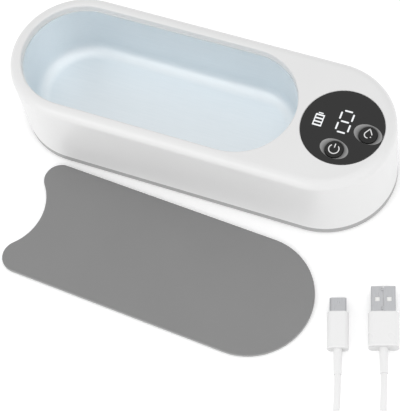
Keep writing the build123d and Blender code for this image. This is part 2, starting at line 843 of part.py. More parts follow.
# Lid: a plate with one round end and one hollowed end that goes round the
# panel, and a rib under it that drops into the opening
lid_plane = Plane(
    origin=(*lid_place, 0),
    x_dir=(math.cos(math.radians(lid_turn)), math.sin(math.radians(lid_turn)), 0),
    z_dir=(0, 0, 1),
)
lid_arc_x = -(panel_x - left_x + lid_arc_shift)
lobe_y = lid_radius - lid_lobe_radius
lobe_x = lid_arc_x + math.sqrt((lid_arc_radius + lid_lobe_radius) ** 2 - lobe_y**2)
meet = lid_arc_radius / (lid_arc_radius + lid_lobe_radius)
meet_x = lid_arc_x + (lobe_x - lid_arc_x) * meet
meet_y = lobe_y * meet
lobe_lean = (math.pi / 2 + math.atan2(lobe_y, lobe_x - lid_arc_x) + math.pi) / 2
lobe_mid_x = lobe_x + lid_lobe_radius * math.cos(lobe_lean)
lobe_mid_y = lobe_y + lid_lobe_radius * math.sin(lobe_lean)
with BuildPart() as lid:
    with BuildSketch(lid_plane.offset(lid_rib_height)):
        with BuildLine():
            Line((lobe_x, lid_radius), (0, lid_radius))
            ThreePointArc((0, lid_radius), (lid_radius, 0), (0, -lid_radius))
            Line((0, -lid_radius), (lobe_x, -lid_radius))
            ThreePointArc((lobe_x, -lid_radius), (lobe_mid_x, -lobe_mid_y), (meet_x, -meet_y))
            ThreePointArc((meet_x, -meet_y), (lid_arc_x + lid_arc_radius, 0), (meet_x, meet_y))
            ThreePointArc((meet_x, meet_y), (lobe_mid_x, lobe_mid_y), (lobe_x, lid_radius))
        make_face()
    extrude(amount=lid_plate)
    fillet(lid.faces().sort_by(Axis.Z)[-1].edges(), lid_edge_radius)
    rib_radius = opening_radius - lid_rib_gap
    with BuildSketch(lid_plane):
        slot(-tank_spacing / 2, tank_spacing, rib_radius)
        with Locations((-tank_spacing / 2, 0)):
            SlotCenterToCenter(
                tank_spacing, 2 * (rib_radius - lid_rib_wall), mode=Mode.SUBTRACT
            )
    extrude(amount=lid_rib_height)
finish(lid, "lid")

# Charging cable: both plugs point the same way and lie on the table
heading = math.radians(plug_heading)
ahead = Vector(math.cos(heading), math.sin(heading), 0)
side_way = Vector(math.sin(heading), -math.cos(heading), 0)


def plug_plane(place, height, along):
    """Plane across a plug, facing the way that it points."""
    start = Vector(place[0], place[1], height) + ahead * along
    return Plane(origin=start, x_dir=side_way, z_dir=ahead)


def make_overmould(name, place, width, thickness, length):
    """Moulded housing of one plug."""
    with BuildPart() as body:
        with BuildSketch(plug_plane(place, thickness / 2, 0)):
            RectangleRounded(width, thickness, plug_corner_radius)
        extrude(amount=length)
        ends = body.faces().filter_by(lambda face: abs(face.normal_at().dot(ahead)) > 0.99)
        fillet(ends.edges(), plug_edge_radius)
    finish(body, name)


def make_relief(name, place, height):
    """Tapered strain relief behind one plug."""
    with BuildPart() as relief:
        with BuildSketch(plug_plane(place, height, 0)):
            Circle(relief_radius)
        with BuildSketch(plug_plane(place, height, -relief_length)):
            Circle(relief_end_radius)
        loft()
        tail = relief.faces().sort_by_distance(plug_plane(place, height, -relief_length).origin)[0]
        fillet(tail.edges(), relief_edge_radius)
    finish(relief, name)


make_overmould("usb_c_overmould", usb_c_place, usb_c_width, usb_c_thickness, usb_c_length)
make_relief("usb_c_strain_relief", usb_c_place, usb_c_thickness / 2)
make_overmould("usb_a_overmould", usb_a_place, usb_a_width, usb_a_thickness, usb_a_length)
make_relief("usb_a_strain_relief", usb_a_place, usb_a_thickness / 2)

# Shell and insert of the small plug
c_front = plug_plane(usb_c_place, usb_c_thickness / 2, usb_c_length)
c_tip = c_front.offset(usb_c_shell[2])
c_cavity = (usb_c_shell[0] - 2 * shell_wall, usb_c_shell[1] - 2 * shell_wall)
with BuildPart() as usb_c_plug_shell:
    with BuildSketch(c_front):
        SlotOverall(usb_c_shell[0], usb_c_shell[1])
        SlotOverall(c_cavity[0], c_cavity[1], mode=Mode.SUBTRACT)
    extrude(amount=usb_c_shell[2])
finish(usb_c_plug_shell, "usb_c_shell")

with BuildPart() as usb_c_plug_insert:
    with BuildSketch(c_front):
        SlotOverall(c_cavity[0] - 2 * guide_gap, c_cavity[1] - 2 * guide_gap)
    extrude(amount=usb_c_shell[2] - usb_c_insert_setback)
    with BuildSketch(c_tip):
        Rectangle(usb_c_insert_slot[0], usb_c_insert_slot[1])
    extrude(amount=-usb_c_insert_slot[2], mode=Mode.SUBTRACT)
finish(usb_c_plug_insert, "usb_c_insert")

# Shell and insert of the large plug
a_front = plug_plane(usb_a_place, usb_a_thickness / 2, usb_a_length)
a_cavity = (usb_a_shell[0] - 2 * shell_wall, usb_a_shell[1] - 2 * shell_wall)
window_middle = (
    Vector(usb_a_place[0], usb_a_place[1], 0)
    + ahead * (usb_a_length + usb_a_shell[2] - usb_a_window_setback)
)
window_plane = Plane(origin=window_middle, x_dir=side_way, z_dir=(0, 0, 1))
seam_start = Vector(usb_a_place[0], usb_a_place[1], usb_a_thickness / 2) + ahead * usb_a_length
seam_plane = Plane(origin=seam_start, x_dir=side_way, z_dir=(0, 0, 1))
tab_side, tab_length = usb_a_seam_tab
near_tab = usb_a_seam_tab_setback
far_tab = usb_a_shell[2] - usb_a_seam_tab_setback - tab_length
seam_points = [(0, 0)]
for tab_start in (near_tab, far_tab):
    seam_points += [
        (0, tab_start),
        (-tab_side, tab_start),
        (-tab_side, tab_start + tab_length),
        (0, tab_start + tab_length),
    ]
seam_points.append((0, usb_a_shell[2]))
with BuildPart() as usb_a_plug_shell:
    with BuildSketch(a_front):
        RectangleRounded(usb_a_shell[0], usb_a_shell[1], usb_a_shell_corner)
        RectangleRounded(
            a_cavity[0], a_cavity[1], usb_a_shell_corner - shell_wall, mode=Mode.SUBTRACT
        )
    extrude(amount=usb_a_shell[2])
    with BuildSketch(window_plane):
        with GridLocations(usb_a_window_spacing, 0, 2, 1):
            Rectangle(usb_a_window[0], usb_a_window[1])
    extrude(amount=usb_a_thickness, mode=Mode.SUBTRACT)
    with BuildSketch(seam_plane):
        with BuildLine():
            Polyline(*seam_points)
        trace(line_width=usb_a_seam)
    extrude(amount=usb_a_thickness / 2, mode=Mode.SUBTRACT)
finish(usb_a_plug_shell, "usb_a_shell")

with BuildPart() as usb_a_plug_insert:
    with BuildSketch(a_front):
        with Locations((0, -(a_cavity[1] - usb_a_insert_thickness) / 2 + guide_gap)):
            Rectangle(a_cavity[0] - usb_a_shell_corner, usb_a_insert_thickness)
    extrude(amount=usb_a_shell[2] - usb_a_insert_setback)
finish(usb_a_plug_insert, "usb_a_insert")

# Coil: two piled layers, the lower one spiralling in and the upper one out,
# with one climb in the half turn where the spiral turns back
cable_radius = cable_diameter / 2
coil_low_z = tie_thickness + tie_under_gap + cable_radius
coil_outer_radius = coil_inner_radius + coil_layer_turns * coil_pitch
layer_sweep = 2 * math.pi * coil_layer_turns
coil_sweep = 2 * layer_sweep + math.pi
coil_start = plug_heading + 90  # degrees from +X, where the first turn begins
cord_middle = (Vector(*usb_c_place, 0) + Vector(*usb_a_place, 0)) * 0.5
coil_center = cord_middle - ahead * coil_setback


def coil_point(sweep_angle):
    """Place on the coil's centre line after a given sweep from its start."""
    slope = coil_pitch / (2 * math.pi)
    back = sweep_angle - layer_sweep
    if back <= 0:
        radius, rise = coil_inner_radius - slope * back, 0
    elif back < math.pi:
        radius = coil_inner_radius - slope * (back - back**2 / math.pi)
        rise = coil_layer_rise * (1 - math.cos(back)) / 2
    else:
        radius, rise = coil_inner_radius + slope * (back - math.pi), coil_layer_rise
    angle = math.radians(coil_start) + sweep_angle
    return Vector(
        coil_center.X + radius * math.cos(angle),
        coil_center.Y + radius * math.sin(angle),
        coil_low_z + rise,
    )


def coil_tangent(sweep_angle):
    """Direction of the coil's centre line."""
    step = 1e-4
    return (coil_point(sweep_angle + step) - coil_point(sweep_angle - step)).normalized()


def biarc(start, start_way, end, end_way):
    """Two tangent arcs between two points with given directions."""
    chord = end - start
    both = start_way + end_way
    spread = 2 * (1 - start_way.dot(end_way))
    reach = (-chord.dot(both) + math.sqrt(chord.dot(both) ** 2 + spread * chord.dot(chord))) / spread
    first_corner = start + start_way * reach
    second_corner = end - end_way * reach
    middle = (first_corner + second_corner) * 0.5
    TangentArc(start, middle, tangent=start_way)
    TangentArc(middle, end, tangent=second_corner - first_corner)


quarter_turns = round(coil_sweep / (math.pi / 2))
coil_in = ahead * -1  # direction of travel at the start
coil_out = ahead
coil_first = coil_point(0)
coil_last = coil_point(coil_sweep)
with BuildPart() as cable_coil:
    with BuildLine() as coil_line:
        Line(coil_first - coil_in * cable_diameter, coil_first)
        for quarter in range(quarter_turns):
            low, high = quarter * math.pi / 2, (quarter + 1) * math.pi / 2
            low_way = coil_in if quarter == 0 else coil_tangent(low)
            high_way = coil_out if quarter == quarter_turns - 1 else coil_tangent(high)
            biarc(coil_point(low), low_way, coil_point(high), high_way)
        Line(coil_last, coil_last + coil_out * cable_diameter)
    with BuildSketch(Plane(origin=coil_first - coil_in * cable_diameter, z_dir=coil_in)):
        Circle(cable_radius)
    sweep(path=coil_line.wires()[0])
finish(cable_coil, "cable_coil")

# Least gap of the coil to itself, measured on points along its centre line
gap_step = math.radians(5)
coil_points = [coil_point(n * gap_step) for n in range(int(coil_sweep / gap_step) + 1)]
half_turn_points = round(math.pi / gap_step)
least = min(
    (coil_points[i] - coil_points[j]).length
    for i in range(len(coil_points))
    for j in range(i + half_turn_points, len(coil_points))
)
coil_length = coil_line.wires()[0].length
section = math.pi * cable_radius**2
print("coil: least gap to itself", round(least - cable_diameter, 3))
print("coil: length", round(coil_length, 1), "volume over section x length",
      round(cable_coil.part.volume / (section * coil_length), 4))

# Free stretches of the cable, from each strain relief to the coil
coil_in_end = coil_first - coil_in * cable_diameter
coil_out_end = coil_last + coil_out * cable_diameter


def beside(base, forward, sideways, height):
    """Point given from a place along and across the plugs' heading."""
    point = Vector(base[0], base[1], 0) - ahead * forward + side_way * sideways
    return Vector(point.X, point.Y, height)


def free_cable(name, points):
    """Tube along straight runs with arcs as large as the runs allow."""
    radii = []
    for before, corner, after in zip(points, points[1:], points[2:]):
        turn = math.radians((corner - before).get_angle(after - corner))
        shorter = min((corner - before).length, (after - corner).length)
        radii.append(0.45 * shorter / math.tan(turn / 2))
    with BuildPart() as tube:
        with BuildLine() as route:
            FilletPolyline(*points, radius=radii)
        start_way = points[1] - points[0]
        with BuildSketch(Plane(origin=points[0], z_dir=start_way)):
            Circle(cable_radius)
        sweep(path=route.wires()[0])
    finish(tube, name)
    length = route.wires()[0].length
    print(name, "radii", [round(radius, 1) for radius in radii], "length", round(length, 1),
          "volume over section x length", round(tube.part.volume / (section * length), 4))
    return length


c_height = usb_c_thickness / 2
a_height = usb_a_thickness / 2
c_exit = beside(usb_c_place, relief_length, 0, c_height)
a_exit = beside(usb_a_place, relief_length, 0, a_height)
coil_high_z = coil_low_z + coil_layer_rise
c_route = [
    c_exit,
    beside(usb_c_place, relief_length + cable_level, 0, c_height),
    beside(usb_c_place, relief_length + cable_sunk, -cable_drift, cable_radius),
    coil_in_end + ahead * coil_lead_in,
    coil_in_end,
]
a_route = [
    a_exit,
    beside(usb_a_place, relief_length + cable_level, 0, a_height),
    beside(usb_a_place, relief_length + cable_sunk, -cable_drift, cable_radius + cable_climb),
    coil_out_end + ahead * coil_lead_in,
    coil_out_end,
]
c_length = free_cable("cable_usb_c_end", c_route)
a_length = free_cable("cable_usb_a_end", a_route)
print("cable: whole length", round(c_length + coil_length + a_length, 1))

# Tie round the bundle, on the far side of the coil from the plugs
tie_angle = math.radians(coil_start + 90)
tie_way = Vector(math.cos(tie_angle), math.sin(tie_angle), 0)
bundle_inside = coil_inner_radius - coil_pitch / 8 - cable_radius
tie_near = math.sqrt(bundle_inside**2 - (tie_width / 2) ** 2) - tie_gap
tie_far = coil_outer_radius + cable_radius + tie_gap
tie_top = coil_high_z + cable_radius + tie_gap
tie_plane = Plane(
    origin=coil_center,
    x_dir=tie_way,
    z_dir=tie_way.cross(Vector(0, 0, 1)),
)
with BuildPart() as cable_tie:
    with BuildSketch(tie_plane):
        with Locations(((tie_near + tie_far) / 2, (tie_top + tie_thickness) / 2)):
            RectangleRounded(tie_far - tie_near + 2 * tie_thickness, tie_top + tie_thickness, 1.2)
            RectangleRounded(tie_far - tie_near, tie_top - tie_thickness, 0.6, mode=Mode.SUBTRACT)
    extrude(amount=tie_width / 2, both=True)
finish(cable_tie, "cable_tie")
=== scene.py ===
import math

import bmesh
import bpy
from mathutils import Matrix, Vector


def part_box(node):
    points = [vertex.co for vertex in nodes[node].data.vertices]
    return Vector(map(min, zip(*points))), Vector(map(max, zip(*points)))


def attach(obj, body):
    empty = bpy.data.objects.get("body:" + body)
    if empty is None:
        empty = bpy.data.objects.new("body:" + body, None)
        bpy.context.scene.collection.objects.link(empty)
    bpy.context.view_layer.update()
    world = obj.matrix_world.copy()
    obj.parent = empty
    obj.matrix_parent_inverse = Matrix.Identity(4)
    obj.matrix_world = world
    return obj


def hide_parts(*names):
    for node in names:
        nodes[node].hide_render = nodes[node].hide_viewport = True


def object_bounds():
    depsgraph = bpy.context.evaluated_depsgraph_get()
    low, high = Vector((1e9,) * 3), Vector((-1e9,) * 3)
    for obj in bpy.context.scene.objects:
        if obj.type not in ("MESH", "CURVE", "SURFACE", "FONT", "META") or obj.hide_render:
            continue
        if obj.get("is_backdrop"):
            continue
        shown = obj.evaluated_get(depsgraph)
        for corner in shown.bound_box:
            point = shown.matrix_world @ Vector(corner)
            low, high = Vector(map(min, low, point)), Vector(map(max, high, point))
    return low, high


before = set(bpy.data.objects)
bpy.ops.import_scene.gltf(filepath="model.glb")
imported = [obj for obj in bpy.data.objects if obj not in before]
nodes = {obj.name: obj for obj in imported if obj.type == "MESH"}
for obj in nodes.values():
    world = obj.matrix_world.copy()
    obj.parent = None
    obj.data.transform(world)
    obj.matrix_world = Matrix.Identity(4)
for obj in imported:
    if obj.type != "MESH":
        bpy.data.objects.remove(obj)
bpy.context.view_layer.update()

# The camera looks down at the cleaner from its front right, slightly rolled,
# through a long lens. Its place was fitted to the outlines of the body.
view_azimuth = math.radians(34.23)
view_elevation = math.radians(61.82)
view_roll = math.radians(-14.42)
view_distance = 0.7998
view_target = Vector((0.01035, -0.03914, 0.0))
focal_pixels = 1562.8  # the lens, in pixels of the picture
frame_long_side = 411  # of the picture, in pixels
sensor_mm = 36.0

back = Vector((
    math.sin(view_azimuth) * math.cos(view_elevation),
    -math.cos(view_azimuth) * math.cos(view_elevation),
    math.sin(view_elevation),
))
level = Vector((math.cos(view_azimuth), math.sin(view_azimuth), 0))
rise = back.cross(level)
right = level * math.cos(view_roll) + rise * math.sin(view_roll)
rolled_rise = rise * math.cos(view_roll) - level * math.sin(view_roll)
camera_data = bpy.data.cameras.new("camera")
camera_data.sensor_width = sensor_mm
camera_data.lens = focal_pixels / frame_long_side * sensor_mm
camera_data.clip_start = 0.05
camera = bpy.data.objects.new("camera", camera_data)
turned = Matrix((right, rolled_rise, back)).transposed().to_4x4()
camera.matrix_world = Matrix.Translation(view_target + back * view_distance) @ turned
bpy.context.scene.collection.objects.link(camera)
bpy.context.scene.camera = camera

# The charging cord is a white jacketed lead 1.03 m long between two plugs. The
# picture shows its first few centimetres at each plug, and the rest is put
# away as a tied coil of two layers just below the picture.
cord_diameter = 0.0031
cord_from_c_plug = [
    (0.10759, -0.10481, 0.0030),
    (0.11033, -0.11285, 0.0030),
    (0.11408, -0.12636, 0.00155),
    (0.10829, -0.14902, 0.0023),
    (0.11312, -0.16322, 0.0023),
]
cord_from_a_plug = [
    (0.12829, -0.09741, 0.0038),
    (0.13103, -0.10545, 0.0038),
    (0.13478, -0.11896, 0.00215),
    (0.15482, -0.13318, 0.00592),
    (0.15966, -0.14738, 0.00592),
]
coil_middle = Vector((0.13739, -0.15824, 0.0023))
coil_start = math.radians(198.8)
coil_inner = 0.0101
coil_pitch = 0.00362
coil_rise = 0.00362
coil_layer_turns = 4
points_per_turn = 24


def coil_point(turned_by):
    """A control point of the coil: in on the lower layer, up in half a turn, out on the upper one."""
    slope = coil_pitch / (2 * math.pi)
    past = turned_by - 2 * math.pi * coil_layer_turns
    lift = min(max(past, 0), math.pi)
    radius = coil_inner - slope * past
    if past > 0:
        radius = coil_inner - slope * (lift - lift**2 / math.pi) + slope * (past - lift)
    height = coil_rise * (1 - math.cos(lift)) / 2
    radius /= math.cos(math.pi / points_per_turn)
    angle = coil_start + turned_by
    return coil_middle + Vector((radius * math.cos(angle), radius * math.sin(angle), height))


climb_turns = 0.5
coil_steps = round((2 * coil_layer_turns + climb_turns) * points_per_turn)
coil_turns = [coil_point(2 * math.pi * step / points_per_turn) for step in range(coil_steps + 1)]
cord_points = cord_from_c_plug + coil_turns + cord_from_a_plug[::-1]
cord_curve = bpy.data.curves.new("charging_cord", "CURVE")
cord_curve.dimensions = "3D"
cord_curve.bevel_depth = 1.0  # so that a point's radius is the cord's own
cord_curve.bevel_resolution = 5
cord_curve.resolution_u = 6
cord_spline = cord_curve.splines.new("NURBS")
cord_spline.points.add(len(cord_points) - 1)
for point, place in zip(cord_spline.points, cord_points):
    point.co = (*place, 1)
    point.radius = cord_diameter / 2
cord_spline.order_u = 3
cord_spline.use_endpoint_u = True
cord = bpy.data.objects.new("charging_cord", cord_curve)
bpy.context.scene.collection.objects.link(cord)
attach(cord, "charging_cable")
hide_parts("cable_usb_c_end", "cable_coil", "cable_usb_a_end")


def linear(code):
    """Turns an sRGB hex colour into the linear colour that a shader takes."""
    parts = [int(code[n:n + 2], 16) / 255 for n in (1, 3, 5)]
    return [p / 12.92 if p <= 0.04045 else ((p + 0.055) / 1.055) ** 2.4 for p in parts] + [1]


def fill(tree, made, sockets):
    """Sets a node's sockets, given by name or by place, to plain values or links."""
    for name, value in sockets.items():
        if isinstance(value, bpy.types.NodeSocket):
            tree.links.new(value, made.inputs[name])
        else:
            made.inputs[name].default_value = value


def node(tree, kind, sockets=None, **settings):
    """Adds a node with its settings and its sockets' values and links."""
    made = tree.nodes.new(kind)
    for name, value in settings.items():
        setattr(made, name, value)
    fill(tree, made, sockets or {})
    return made


def new_finish(name):
    """A new material, with its tree and its shader."""
    finish = bpy.data.materials.new(name)
    finish.use_nodes = True
    return finish, finish.node_tree, finish.node_tree.nodes["Principled BSDF"]


def per_metre(size_mm):
    """The scale of a texture whose features are this many millimetres."""
    return 1000 / size_mm


# A Mix node calls its sockets the same for numbers and for colours, so they are
# taken by place: the value where the factor is 0, the one where it is 1, and
# the result.
number_off, number_on, number_out = 2, 3, 0
colour_off, colour_on, colour_out = 6, 7, 2


def moulded(name, light, dark, roughness, ior=1.53, grain_mm=0.35, grain_depth_mm=0.004,
            cloud_mm=35, spread=0.05, more=None):
    """Moulded plastic: the fine grain of the tool, under a slow drift of tone and gloss."""
    finish, tree, shader = new_finish(name)
    place = node(tree, "ShaderNodeTexCoord").outputs["Object"]
    cloud = node(tree, "ShaderNodeTexNoise", {
        "Vector": place, "Scale": per_metre(cloud_mm), "Detail": 3.0,
    })
    tone = node(tree, "ShaderNodeMix", {
        "Factor": cloud.outputs["Fac"], colour_off: linear(dark), colour_on: linear(light),
    }, data_type="RGBA")
    gloss = node(tree, "ShaderNodeMapRange", {
        "Value": cloud.outputs["Fac"], "To Min": roughness - spread, "To Max": roughness + spread,
    })
    grain = node(tree, "ShaderNodeTexNoise", {
        "Vector": place, "Scale": per_metre(grain_mm), "Detail": 2.0,
    })
    bump = node(tree, "ShaderNodeBump", {
        "Height": grain.outputs["Fac"], "Strength": 0.6, "Distance": grain_depth_mm / 1000,
    })
    fill(tree, shader, {
        "Base Color": tone.outputs[colour_out], "Roughness": gloss.outputs["Result"],
        "Normal": bump.outputs["Normal"], "IOR": ior, **(more or {}),
    })
    return finish


def dress(finish, *names):
    """Gives CAD nodes or new pieces their finish."""
    for name in names:
        piece = nodes[name] if isinstance(name, str) else name
        if not piece.data.materials:
            piece.data.materials.append(finish)
        for held in piece.material_slots:
            held.material = finish


def along(tree, axis, source="Object"):
    """The place along an axis, or how far the surface faces that way with Normal as its source."""
    place = node(tree, "ShaderNodeTexCoord").outputs[source]
    return node(tree, "ShaderNodeSeparateXYZ", {"Vector": place}).outputs[axis]


def upright(tree, full, none):
    """A mask that is 1 where a surface stands upright, and fades as it lies flatter."""
    slope = node(tree, "ShaderNodeMath", {0: along(tree, "Z", "Normal")}, operation="ABSOLUTE")
    return node(tree, "ShaderNodeMapRange", {
        "Value": slope.outputs[0], "From Min": full, "From Max": none, "To Min": 1.0, "To Max": 0.0,
    }).outputs["Result"]


def overlay(finish, mask, sockets):
    """Gives a finish other values where a mask is 1."""
    tree = finish.node_tree
    shader = tree.nodes["Principled BSDF"]
    for name, value in sockets.items():
        socket = shader.inputs[name]
        kind, off, on, out = "FLOAT", number_off, number_on, number_out
        if socket.type == "RGBA":
            kind, off, on, out = "RGBA", colour_off, colour_on, colour_out
        under = socket.links[0].from_socket if socket.links else socket.default_value
        mix = node(tree, "ShaderNodeMix", {"Factor": mask, off: under, on: value}, data_type=kind)
        tree.links.new(mix.outputs[out], socket)


# Extruded soft TPE: an even white with a faint sheen, and no sharp glints. The
# skin's grain is about 0.1 mm and is drawn at 0.5 mm, so that it shows. Its
# upright flanks are painted greyer as painted shade.
jacket_finish = moulded("extruded_white_tpe", "#E9E9E9", "#E4E4E4", roughness=0.42, ior=1.50,
                        grain_mm=0.5, grain_depth_mm=0.006, more={"Sheen Weight": 0.1})
# Painted shade: the upright flanks are painted a greyer tone.
jacket_painted_flank_shade = upright(jacket_finish.node_tree, full=0.0, none=0.55)
overlay(jacket_finish, jacket_painted_flank_shade, {"Base Color": linear("#CDCDCD")})
dress(jacket_finish, cord, "usb_c_strain_relief", "usb_a_strain_relief")

# Moulded silicone strap: duller than the jacket, and a touch yellower.
strap_finish = moulded("moulded_white_silicone", "#E2E1DD", "#D8D7D3", roughness=0.6, ior=1.41,
                       cloud_mm=8)
dress(strap_finish, "cable_tie")

# The cleaner and its lid stand on a plain white shooting table, a milky sheet
# that is lit a little from below. Soft boxes light them from overhead, from
# the front left and from the right.
floor_size = 6.0
floor_mesh = bmesh.new()
bmesh.ops.create_grid(floor_mesh, x_segments=1, y_segments=1, size=floor_size / 2)
floor_data = bpy.data.meshes.new("table_top")
floor_mesh.to_mesh(floor_data)
floor_mesh.free()
floor = bpy.data.objects.new("table_top", floor_data)
bpy.context.scene.collection.objects.link(floor)
floor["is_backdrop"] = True
# Cast milky acrylic: a dull, even white that keeps the shadows on it pale.
table_finish, table_tree, table_shader = new_finish("milky_table_acrylic")
fill(table_tree, table_shader, {
    "Base Color": linear("#FAFAFA"), "Roughness": 0.9, "Specular IOR Level": 0.1,
    "Emission Color": linear("#FFFFFF"), "Emission Strength": 0.15,
})
dress(table_finish, floor)

world = bpy.data.worlds.new("studio")
bpy.context.scene.world = world
world.use_nodes = True
fill(world.node_tree, world.node_tree.nodes["Background"], {
    "Color": linear("#F8F8F8"), "Strength": 0.93,
})
bpy.context.scene.view_settings.view_transform = "Standard"


def soft_light(name, place, aim, width, height, watts):
    """A rectangular softbox that faces a point."""
    data = bpy.data.lights.new(name, "AREA")
    data.shape = "RECTANGLE"
    data.size = width
    data.size_y = height
    data.energy = watts
    light = bpy.data.objects.new(name, data)
    light.location = place
    light.rotation_mode = "QUATERNION"
    light.rotation_quaternion = (Vector(aim) - Vector(place)).to_track_quat("-Z", "Y")
    bpy.context.scene.collection.objects.link(light)


soft_light("overhead_softbox", place=(0.35, -0.15, 1.45), aim=(0, 0, 0),
           width=1.2, height=1.2, watts=2.5)
soft_light("front_softbox", place=(-0.60, -1.15, 0.75), aim=(0, 0, 0.02),
           width=1.0, height=0.8, watts=4.4)
soft_light("side_softbox", place=(1.1, -0.25, 0.55), aim=(0.05, 0, 0.02),
           width=0.8, height=0.8, watts=1.6)

# The base plate is a light grey ABS moulding that closes the body from below,
# and its edge shows as a thin band. It stands on a grey silicone pad that is
# pressed into a recess in its underside.

# Fine spark-eroded ABS: a level mid tone, a little duller than the housing.
base_finish = moulded("eroded_light_grey_abs", "#A2A2A2", "#9C9C9C", roughness=0.45)
dress(base_finish, "base_plate")
# Moulded silicone: dark, dull and slightly dusty. Its grain is about 0.2 mm and
# is drawn at 0.8 mm, so that it shows.
pad_finish = moulded("moulded_grey_silicone", "#6E6E70", "#646466", roughness=0.75, ior=1.41,
                     grain_mm=0.8, grain_depth_mm=0.02, more={"Sheen Weight": 0.2})
dress(pad_finish, "rubber_pad")


def plated(name, light, dark, roughness, line_mm=(4.0, 0.3), turn=0.0, spread=0.06):
    """Plated or rolled metal: drawn lines along one way, of a real length and width."""
    finish, tree, shader = new_finish(name)
    length, width = (size / 1000 for size in line_mm)
    drawn = node(tree, "ShaderNodeMapping", {
        "Vector": node(tree, "ShaderNodeTexCoord").outputs["Object"], "Rotation": (0, 0, turn),
        "Scale": (length, width, width),
    }, vector_type="TEXTURE")
    lines = node(tree, "ShaderNodeTexNoise", {
        "Vector": drawn.outputs["Vector"], "Scale": 1.0, "Detail": 2.0,
    })
    tone = node(tree, "ShaderNodeMix", {
        "Factor": lines.outputs["Fac"], colour_off: linear(dark), colour_on: linear(light),
    }, data_type="RGBA")
    gloss = node(tree, "ShaderNodeMapRange", {
        "Value": lines.outputs["Fac"], "To Min": roughness - spread, "To Max": roughness + spread,
    })
    fill(tree, shader, {
        "Base Color": tone.outputs[colour_out], "Roughness": gloss.outputs["Result"],
        "Metallic": 1.0,
    })
    return finish


def within(tree, **limits):
    """A mask that is 1 where each coordinate named lies between its two limits."""
    mask = 1.0
    for axis, (low, high) in limits.items():
        held = node(tree, "ShaderNodeMath", {
            0: along(tree, axis), 1: (low + high) / 2, 2: (high - low) / 2,
        }, operation="COMPARE")
        mask = node(tree, "ShaderNodeMath", {0: mask, 1: held.outputs[0]},
                    operation="MULTIPLY").outputs[0]
    return mask


def outside(tree, **limits):
    """A mask that is 1 where within gives 0, and 0 where it gives 1."""
    held = within(tree, **limits)
    return node(tree, "ShaderNodeMath", {0: 1.0, 1: held}, operation="SUBTRACT").outputs[0]


# The battery is one lithium cell in a shrunk blue sleeve. Nickel tabs are spot
# welded to its ends, a foam pad holds it down, and two leads take its charge
# to the driver board.
cell_low, cell_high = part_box("battery_cell")
cell_end = 0.0002  # how far the bare end goes down the cell
skin = 0.0001  # how far a mask goes past a face, to take it in whole
# Shrunk PVC film: a smooth strong blue with long soft glints. The can's bare
# steel shows at both ends.
cell_finish = moulded("shrunk_blue_pvc", "#2E62A8", "#285698", roughness=0.28, ior=1.54,
                      grain_mm=4.0, grain_depth_mm=0.03, cloud_mm=10)
cell_ends = outside(cell_finish.node_tree, Y=(cell_low.y + cell_end, cell_high.y - cell_end))
overlay(cell_finish, cell_ends, {"Base Color": linear("#B9BABD"), "Metallic": 1.0})
dress(cell_finish, "battery_cell")
# Rolled nickel strip: bright, with fine lines along the roll.
tab_finish = plated("rolled_nickel_strip", "#CFCBC4", "#BDB9B2", roughness=0.3)
dress(tab_finish, "battery_tabs")
# Closed-cell foam: black and very dull, with cells of 0.6 mm.
foam_finish = moulded("black_closed_cell_foam", "#2C2C2C", "#1E1E1E", roughness=0.92, ior=1.45,
                      grain_mm=0.6, grain_depth_mm=0.12, cloud_mm=3)
dress(foam_finish, "battery_pad")


def lead_finish(name, node_name):
    """Extruded PVC on a pair of leads: red on the one, black on the other, both with a soft shine."""
    low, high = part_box(node_name)
    finish = moulded(name, "#B4241C", "#A41C16", roughness=0.38, ior=1.54, cloud_mm=6)
    black_lead = within(finish.node_tree, Y=((low.y + high.y) / 2, high.y + skin))
    overlay(finish, black_lead, {"Base Color": linear("#191919")})
    dress(finish, node_name)


lead_finish("extruded_pvc_battery_pair", "battery_leads")
lead_finish("extruded_pvc_transducer_pair", "transducer_leads")

# Both circuit boards are glass epoxy under green solder mask, with parts
# soldered on top. They are screwed to bosses of the housing from below.

# The mask is smooth and glossy. The copper under it shows as lighter runs and
# the soldered holes as bright dots. Real runs are 0.2 mm wide and are drawn at
# 0.35 mm, so that they show, and the sawn edges are bare yellow laminate.
run_width_mm = 0.35
run_step_mm = 1.8
run_length_mm = 11.0
run_stagger = 0.37  # of a run, from one row to the next
short_run = 0.6  # of a whole run
short_run_every = 3  # rows
dot_step_mm = 4.0
dot_radius_mm = 0.25
tile_mm = 10.0  # the brick texture's unit, because it takes no size under 0.01
edge_slope = 0.5  # a sawn edge faces less than this far up or down
board_finish = moulded("green_masked_glass_epoxy", "#1F6B3A", "#185A30", roughness=0.25,
                       grain_mm=1.2)
board_tree = board_finish.node_tree
board_place = node(board_tree, "ShaderNodeTexCoord").outputs["Object"]
runs = node(board_tree, "ShaderNodeTexBrick", {
    "Vector": board_place, "Scale": per_metre(tile_mm),
    "Mortar Size": run_width_mm / tile_mm / 2, "Mortar Smooth": 0.0,
    "Brick Width": run_length_mm / tile_mm, "Row Height": run_step_mm / tile_mm,
}, offset=run_stagger, squash=short_run, squash_frequency=short_run_every)
overlay(board_finish, runs.outputs["Fac"], {"Base Color": linear("#3E8F56")})
dots = node(board_tree, "ShaderNodeTexVoronoi", {
    "Vector": board_place, "Scale": per_metre(dot_step_mm),
})
on_dot = node(board_tree, "ShaderNodeMath", {
    0: dots.outputs["Distance"], 1: dot_radius_mm / dot_step_mm,
}, operation="LESS_THAN")
overlay(board_finish, on_dot.outputs[0], {"Base Color": linear("#C9CAC4"), "Metallic": 1.0})
board_edge = node(board_tree, "ShaderNodeMath", {
    0: along(board_tree, "Z", "Normal"), 1: 0.0, 2: edge_slope,
}, operation="COMPARE")
overlay(board_finish, board_edge.outputs[0], {"Base Color": linear("#B9B27E"), "Metallic": 0.0})
dress(board_finish, "driver_board", "control_board")
